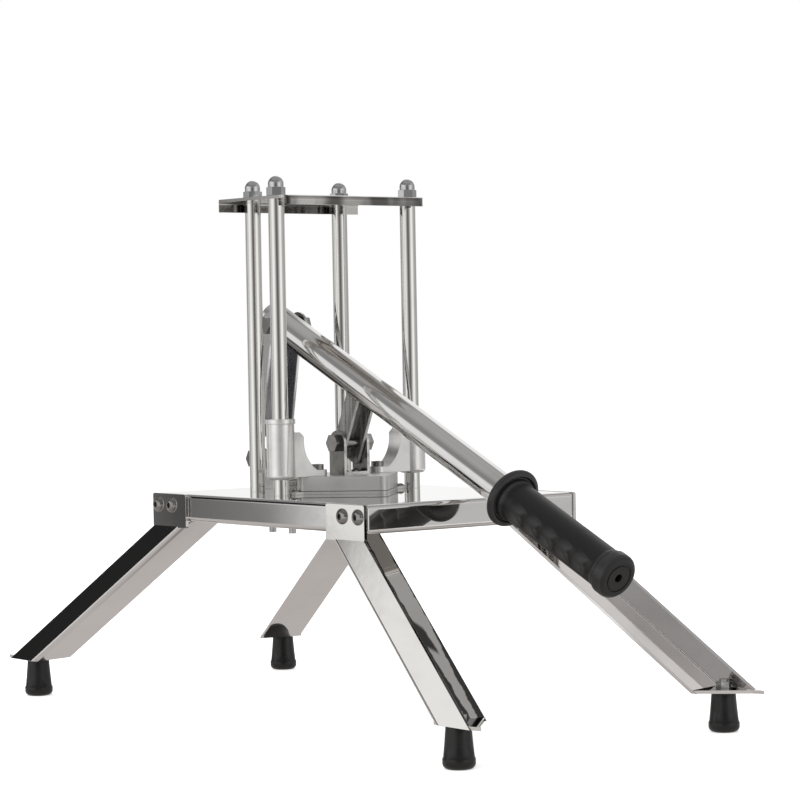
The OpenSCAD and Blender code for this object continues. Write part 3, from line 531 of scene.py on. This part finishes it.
# the grip: where it starts along the tube, its length and bore, its frame and its outer radii
GRIP_FROM, GRIP_LENGTH, GRIP_BORE = 309.0, 129.0, 12.56
ALONG_GRIP = HANDLE @ shifted(GRIP_FROM, 0, 0) @ Matrix.Rotation(math.pi / 2, 4, "Y")
BARREL_R, COLLAR_R, END_R = 15.1, 22.8, 17.0
COLLAR_ROLL, END_ROLL, LIP_ROLL = 3.4, 4.6, 1.6
BARREL_FROM, BARREL_TO = 11.0, 115.0
PADS, PADS_FROM, PAD_PITCH, PAD_HEIGHT = 5, 15.0, 18.6, 1.3
# degrees from a flank's middle to a pad's end where it starts, how far it narrows, its soft end
PAD_REACH, PAD_NARROWS, PAD_SOFT = 34.0, 9.0, 5.0
# the share of a pad's pitch where it is full height, and where it begins to drop
PAD_FULL, PAD_DROPS = 0.72, 0.86
# how far a pad slants along the grip, in millimetres to a degree
PAD_SLANT = 0.16


def finger_pads(radius, angle, along):
    """Rows of wedge-shaped pads on both flanks of the barrel; each rises toward the end."""
    if not BARREL_FROM < along < BARREL_TO or radius < GRIP_BORE + 0.1:
        return radius
    height = 0.0
    for middle in (math.pi / 2, -math.pi / 2):
        off = math.degrees(abs((angle - middle + math.pi) % (2 * math.pi) - math.pi))
        run = (along - PADS_FROM - PAD_SLANT * off) / PAD_PITCH
        if 0.0 <= run < PADS:
            rise = run % 1.0
            wedge = min(1.0, rise / PAD_FULL)
            if rise >= PAD_DROPS:
                wedge = (1.0 - rise) / (1.0 - PAD_DROPS)
            flank = max(0.0, min(1.0, (PAD_REACH - off - PAD_NARROWS * rise) / PAD_SOFT))
            height = max(height, wedge * flank)
    return radius + PAD_HEIGHT * height


def grip_rubber_sleeve(bm):
    """Rolled collar with a moat behind its rim, finger pads, rounded end with a ring and hole."""
    end = GRIP_LENGTH
    profile = [(GRIP_BORE, 0.0), (COLLAR_R - COLLAR_ROLL, 0.0)]
    profile += arc((COLLAR_R - COLLAR_ROLL, COLLAR_ROLL), COLLAR_ROLL, -90, 96, 14)
    profile += [(COLLAR_R - 4.6, 6.0), (COLLAR_R - 5.2, 5.0), (COLLAR_R - 6.0, 5.1)]
    profile += [(COLLAR_R - 6.4, 7.2)]
    profile += [(BARREL_R + 1.4, 8.6), (BARREL_R + 0.3, 10.4)]
    profile += [(BARREL_R, 11.4 + i * (102.6 / 110)) for i in range(111)]
    profile += [(BARREL_R + 0.6, BARREL_TO), (END_R - 0.9, 117.2)]
    profile += arc((END_R - LIP_ROLL, 118.9), LIP_ROLL, 100, 0, 5)
    profile += arc((END_R - END_ROLL, end - END_ROLL), END_ROLL, 0, 90, 9)
    profile += [(10.9, end), (10.7, end - 0.7), (9.7, end - 0.7), (9.5, end)]
    profile += [(3.5, end), (3.0, end - 0.5), (3.0, end - 4.0), (GRIP_BORE, end - 4.0)]
    lathe(bm, ALONG_GRIP, profile, 120, finger_pads, closed=True)


BEAD_SIDES = 10


def weld_bead(bm, path, radius=1.2):
    """Rippled weld along a path in the handle's frame, thin at both ends."""
    rings = []
    last = len(path) - 1
    for i, point in enumerate(path):
        ahead = Vector(path[min(i + 1, last)]) - Vector(path[max(i - 1, 0)])
        swell = radius * (1.0 + 0.16 * math.sin(i * 1.9)) * (0.55 if i in (0, last) else 1.0)
        place = HANDLE @ looking(point, ahead)
        rings.append([bm.verts.new(place @ (at * MM)) for at in circle(swell, BEAD_SIDES)])
    skin_rings(bm, rings)


def drop_link_welds(bm):
    """A bead along each side of the drop link and one across its back, where it meets the tube."""
    half_width, half_depth, tube_r = 9.5, 7.25, 12.5

    def under_tube(y):
        return -math.sqrt(tube_r ** 2 - y ** 2) - 0.3

    for side in (-1, 1):
        weld_bead(bm, [(DROP_X - half_depth + 2 * half_depth * i / 16, side * (half_width + 0.2),
                        under_tube(half_width)) for i in range(17)])
    across = [half_width * (i / 10 - 1) for i in range(21)]
    weld_bead(bm, [(DROP_X - half_depth - 0.2, y, under_tube(y)) for y in across])


# ---------------------------------------------------------------- feet, screws and threads
# places of the feet, the leg screws and the guide rods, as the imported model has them
FOOT_X, FOOT_Y = 279.5, 126.3
LEG_SCREW_X, LEG_SCREW_Z = (-127.0, -108.0, 119.0, 138.0), 165.0
# how far out the screws' heads sit on the tabs, and where their threads leave the nuts inside
TAB_FACE, LEG_SCREW_END = 102.0, 93.8
ROD_ENDS = [(-9.8, -64.7), (-9.8, 64.7), (-72.3, -43.0), (-72.3, 43.0)]
ROD_END_Z, FOOT_SCREW_END_Z = 164.6, 37.2
ROD_THREAD, SCREW_THREAD = 8.0, 6.0
HEAD_R, HEAD_H, HEAD_RIM, SHANK_R, SHANK_L = 5.95, 3.9, 0.7, 3.0, 10.3
SOCKET_R = 2.0
THREAD_DEPTH, THREAD_SHOWS = 0.45, 2.0


def rubber_foot(x, y):
    """Tapered foot with a rolled lower edge, a rim line and the recess for its screw."""
    def build(bm):
        profile = [(3.3, 30.0), (8.0, 30.0)] + arc((8.0, 29.0), 1.0, 90, 12, 4)
        profile += [(9.4, 24.0), (10.1, 16.0), (10.9, 8.4), (11.3, 7.8), (11.6, 6.8)]
        profile += arc((7.3, 4.3), 4.3, 10, -90, 9)
        profile += [(6.9, 0.0), (6.5, 0.4), (6.5, 6.0), (3.3, 6.0)]
        lathe(bm, shifted(x, y, 0), profile, 56, closed=True)
    return build


def button_screw(bm, seat, direction):
    """Round-headed screw with a hexagon socket; the head's underside lies on the seat."""
    def socket(radius, angle, along):
        if radius > SOCKET_R + 0.4 or along < 0:
            return radius
        return radius / math.cos(math.radians(math.degrees(angle) % 60 - 30))

    profile = [(SHANK_R, -SHANK_L), (SHANK_R, 0.0), (HEAD_R, 0.0), (HEAD_R, HEAD_RIM)]
    profile += [(HEAD_R * math.cos(a), HEAD_RIM + (HEAD_H - HEAD_RIM) * math.sin(a))
                for a in (math.radians(10 * i) for i in range(1, 7))]
    profile += [(SOCKET_R + 0.45, HEAD_H * 0.93), (SOCKET_R, HEAD_H * 0.86)]
    profile += [(SOCKET_R, 1.2), (0.05, 1.0)]
    lathe(bm, looking(seat, direction), profile, 36, socket)


def leg_screw_set(bm):
    for x in LEG_SCREW_X:
        for side in (-1, 1):
            button_screw(bm, (x, side * TAB_FACE, LEG_SCREW_Z), (0, side, 0))


def screw_thread(bm, foot, direction, diameter):
    """A real helix on the end that stands out of a nut: the radius follows turn and height."""
    pitch = 1.25 if diameter == ROD_THREAD else 1.0

    def helix(radius, angle, along):
        turn = (along / pitch - angle / (2 * math.pi)) % 1.0
        fade = min(1.0, (THREAD_SHOWS - along) / pitch + 0.2)
        return radius - THREAD_DEPTH * abs(2 * turn - 1) * fade

    rows = max(6, int(THREAD_SHOWS / pitch * 6))
    profile = [((diameter + 0.3) / 2, THREAD_SHOWS * i / rows) for i in range(rows + 1)]
    lathe(bm, looking(foot, direction), profile, 24, helix)


def frame_threads(bm):
    """Ends of the rods, the leg screws and the foot screws beyond their nuts."""
    for x, y in ROD_ENDS:
        screw_thread(bm, (x, y, ROD_END_Z), (0, 0, -1), ROD_THREAD)
    for x in LEG_SCREW_X:
        for side in (-1, 1):
            screw_thread(bm, (x, side * LEG_SCREW_END, LEG_SCREW_Z), (0, -side, 0), SCREW_THREAD)
    for x in (-FOOT_X, FOOT_X):
        for y in (-FOOT_Y, FOOT_Y):
            screw_thread(bm, (x, y, FOOT_SCREW_END_Z), (0, 0, 1), SCREW_THREAD)


add_piece("grip_sleeve", grip_rubber_sleeve, GRIP_RUBBER, "handle", ["grip"], sharp=40)
for corner in CORNERS:
    foot_x = FOOT_X if "front" in corner else -FOOT_X
    foot_y = FOOT_Y if "right" in corner else -FOOT_Y
    add_piece("rubber_foot_" + corner, rubber_foot(foot_x, foot_y), FOOT_RUBBER, "frame",
              ["foot_" + corner], sharp=40)
add_piece("leg_screw_set", leg_screw_set, BOLT_DARK, "frame", ["leg_screws"])
add_piece("drop_link_welds", drop_link_welds, WELD, "handle", sharp=35)
add_piece("frame_threads", frame_threads, BOLT_ZINC, "frame", sharp=35)


# ---------------------------------------------------------------- studio
# the room that polished metal sees: shade at the height of the slicer, by azimuth in degrees
WALLS = [(-180, 0.36), (-168, 0.55), (-158, 0.42), (-151, 0.18), (-148.4, 0.035), (-146.7, 0.10),
         (-146.3, 0.165), (-145, 0.22), (-143.8, 0.42), (-143.4, 0.86), (-140, 0.86), (-128, 0.50),
         (-112, 0.76), (-98, 1.0), (-82, 1.0), (-68, 0.70), (-56, 0.36), (-44, 0.14), (-34, 0.12),
         (-22, 0.26), (-8, 0.56), (6, 1.0), (22, 0.98), (34, 0.64), (48, 0.52), (68, 0.40),
         (100, 0.38), (124, 0.80), (142, 1.0), (168, 0.50), (180, 0.36)]
# the same a little higher
UPPER_WALLS = [(-180, 0.36), (-166, 0.30), (-161, 0.03), (-148.5, 0.02), (-147.4, 0.04),
               (-146, 0.40), (-144.8, 0.88), (-130, 0.86), (-98, 1.0), (-70, 0.85), (-50, 0.20),
               (-26, 0.20), (-6, 0.6), (8, 0.95), (30, 0.85), (50, 0.60), (74, 0.42), (104, 0.34),
               (116, 0.80), (130, 1.0), (150, 1.0), (168, 0.50), (180, 0.36)]
# shade overhead, by the sine of the height
CEILING = [(0.30, 0.62), (0.42, 0.42), (0.54, 0.27), (0.66, 0.25), (0.80, 0.36), (0.92, 0.42),
           (1.0, 0.36)]
# cards above: azimuths from and to, sines of the height from and to, soft edge in degrees, shade
CARDS = [(-163, -147.6, 0.12, 0.62, 0.7, 0.02),
         (112, 150, 0.20, 0.74, 6.0, 0.95),
         (24, 80, 0.36, 0.72, 8.0, 0.52),
         (88, 122, 0.78, 0.96, 9.0, 0.34)]
CARD_SOFT = 0.045
# the floor that it sees: under the slicer, beside it, and on the far side from the camera; the
# first two are a painted shadow and painted shade
FLOOR_SHADOW_UNDER = (0.20, 0.19, 0.18)
FLOOR_SHADE_NEAR = (0.55, 0.52, 0.505)
FLOOR_AWAY = (0.96, 0.95, 0.94)
FLOOR_HALF = 6.0
# soft lamps: place, width and height, watts
LAMPS = {"key": ((0.9, -1.9, 2.0), (1.3, 1.3), 26),
         "rim": ((-1.8, 0.6, 1.6), (1.0, 1.4), 12),
         "top": ((0.2, 0.3, 2.4), (1.6, 1.6), 14)}
LAMP_AIM = Vector((0.0, 0.0, 0.2))
WHITE = grey(1.0)


def ray_masks(p):
    """1 for rays straight from the camera or through something, and 1 for mirrored rays."""
    rays = p.node("ShaderNodeLightPath")
    direct = (p.out(rays, "Is Camera Ray") + p.out(rays, "Is Transmission Ray")).clip()
    return direct, p.out(rays, "Is Glossy Ray")


def floor_finish(p):
    """Matt white that looks evenly lit, and in polished metal the floor of the room, with a painted
    shadow under and beside the slicer.
    """
    matt = p.out(p.node("ShaderNodeBsdfDiffuse", {}, {"Color": grey(0.86)}))
    lit = p.out(p.node("ShaderNodeAddShader", {}, {0: matt, 1: p.emission(WHITE, 0.55)}))
    direct, mirrored = ray_masks(p)
    x, y, _ = p.axes(p.coordinate("Object"))
    distance = (x * x + y * y).math("SQRT")
    # painted shadow of the slicer on the floor that metal sees, darkest under it
    near = distance.step(0.10, 0.27).mix(FLOOR_SHADOW_UNDER, FLOOR_SHADE_NEAR)
    away = distance.step(0.36, 0.80) * x.step(-0.55, -0.20)
    open_air = p.out(p.node("ShaderNodeBsdfTransparent"))
    sheen = p.emission(away.mix(near, FLOOR_AWAY))
    metal_sees = p.mix_shader(distance.step(1.5, 2.3), sheen, open_air)
    surface = p.mix_shader(mirrored, p.mix_shader(direct, matt, lit), metal_sees)
    p.node("ShaderNodeOutputMaterial", {}, {"Surface": surface})


def room_colour(p):
    """What polished metal sees: soft lights to both sides, grey walls, dark behind the camera."""
    x, y, z = p.axes(p.coordinate("Generated"))
    degrees = y.math("ARCTAN2", x) * (180 / math.pi)
    round_the_room = (degrees + 180.0) / 360.0

    def by_azimuth(shades):
        return p.ramp(round_the_room, [((azimuth + 180.0) / 360.0, shade)
                                       for azimuth, shade in shades])

    walls = z.step(0.03, 0.09).mix(by_azimuth(WALLS), by_azimuth(UPPER_WALLS))
    room = z.step(0.30, 0.50).mix(walls, p.ramp(z, CEILING))
    for west, east, bottom, top, soft, shade in CARDS:
        card = degrees.between(west, east, soft) * z.between(bottom, top, CARD_SOFT)
        room = card.mix(room, grey(shade))
    return room


def studio():
    """Pale floor and backdrop, soft lamps and the room that polished metal sees."""
    scene = bpy.context.scene
    scene.view_settings.view_transform = "Standard"

    white = bpy.data.materials.new("studio_white")
    white.use_nodes = True
    white.node_tree.nodes.clear()
    floor_finish(Paint(white.node_tree))
    mesh = bpy.data.meshes.new("floor")
    r = FLOOR_HALF
    mesh.from_pydata([(-r, -r, 0), (r, -r, 0), (r, r, 0), (-r, r, 0)], [], [(0, 1, 2, 3)])
    mesh.materials.append(white)
    floor = bpy.data.objects.new("floor", mesh)
    bpy.context.collection.objects.link(floor)

    world = bpy.data.worlds.new("studio")
    scene.world = world
    world.use_nodes = True
    world.node_tree.nodes.clear()
    p = Paint(world.node_tree)
    direct, mirrored = ray_masks(p)
    lighting = p.mix_shader(mirrored, p.background(WHITE, 0.62), p.background(room_colour(p)))
    surface = p.mix_shader(direct, lighting, p.background(WHITE))
    p.node("ShaderNodeOutputWorld", {}, {"Surface": surface})

    for name, (place, (width, height), watts) in LAMPS.items():
        data = bpy.data.lights.new(name, "AREA")
        data.shape = "RECTANGLE"
        data.size, data.size_y = width, height
        data.energy = watts
        lamp = bpy.data.objects.new(name, data)
        lamp.location = place
        lamp.rotation_euler = (LAMP_AIM - Vector(place)).to_track_quat("-Z", "Y").to_euler()
        lamp.visible_glossy = False
        bpy.context.collection.objects.link(lamp)


# the camera, fitted to the photograph: angles in degrees, distances in metres
AZIMUTH, RISE, ROLL = 52.04, 1.32, -1.01
DISTANCE, TO_THE_RIGHT, UPWARD = 2.212, 0.0363, 0.2459
LENS_MM, SENSOR_MM = 126.0, 36.0


def camera():
    azimuth, rise, roll = (math.radians(angle) for angle in (AZIMUTH, RISE, ROLL))
    back = Vector((math.sin(azimuth) * math.cos(rise), -math.cos(azimuth) * math.cos(rise),
                   math.sin(rise)))
    right = Vector((math.cos(azimuth), math.sin(azimuth), 0.0))
    up = back.cross(right)
    place = back * DISTANCE + right * TO_THE_RIGHT + up * UPWARD
    right_rolled = right * math.cos(roll) + up * math.sin(roll)
    up_rolled = up * math.cos(roll) - right * math.sin(roll)
    data = bpy.data.cameras.new("camera")
    data.lens = LENS_MM
    data.sensor_width = SENSOR_MM
    data.clip_start = 0.05
    data.clip_end = 50.0
    view = bpy.data.objects.new("camera", data)
    turn = Matrix((right_rolled, up_rolled, back)).transposed().to_4x4()
    view.matrix_world = Matrix.Translation(place) @ turn
    bpy.context.collection.objects.link(view)
    bpy.context.scene.camera = view


studio()
camera()
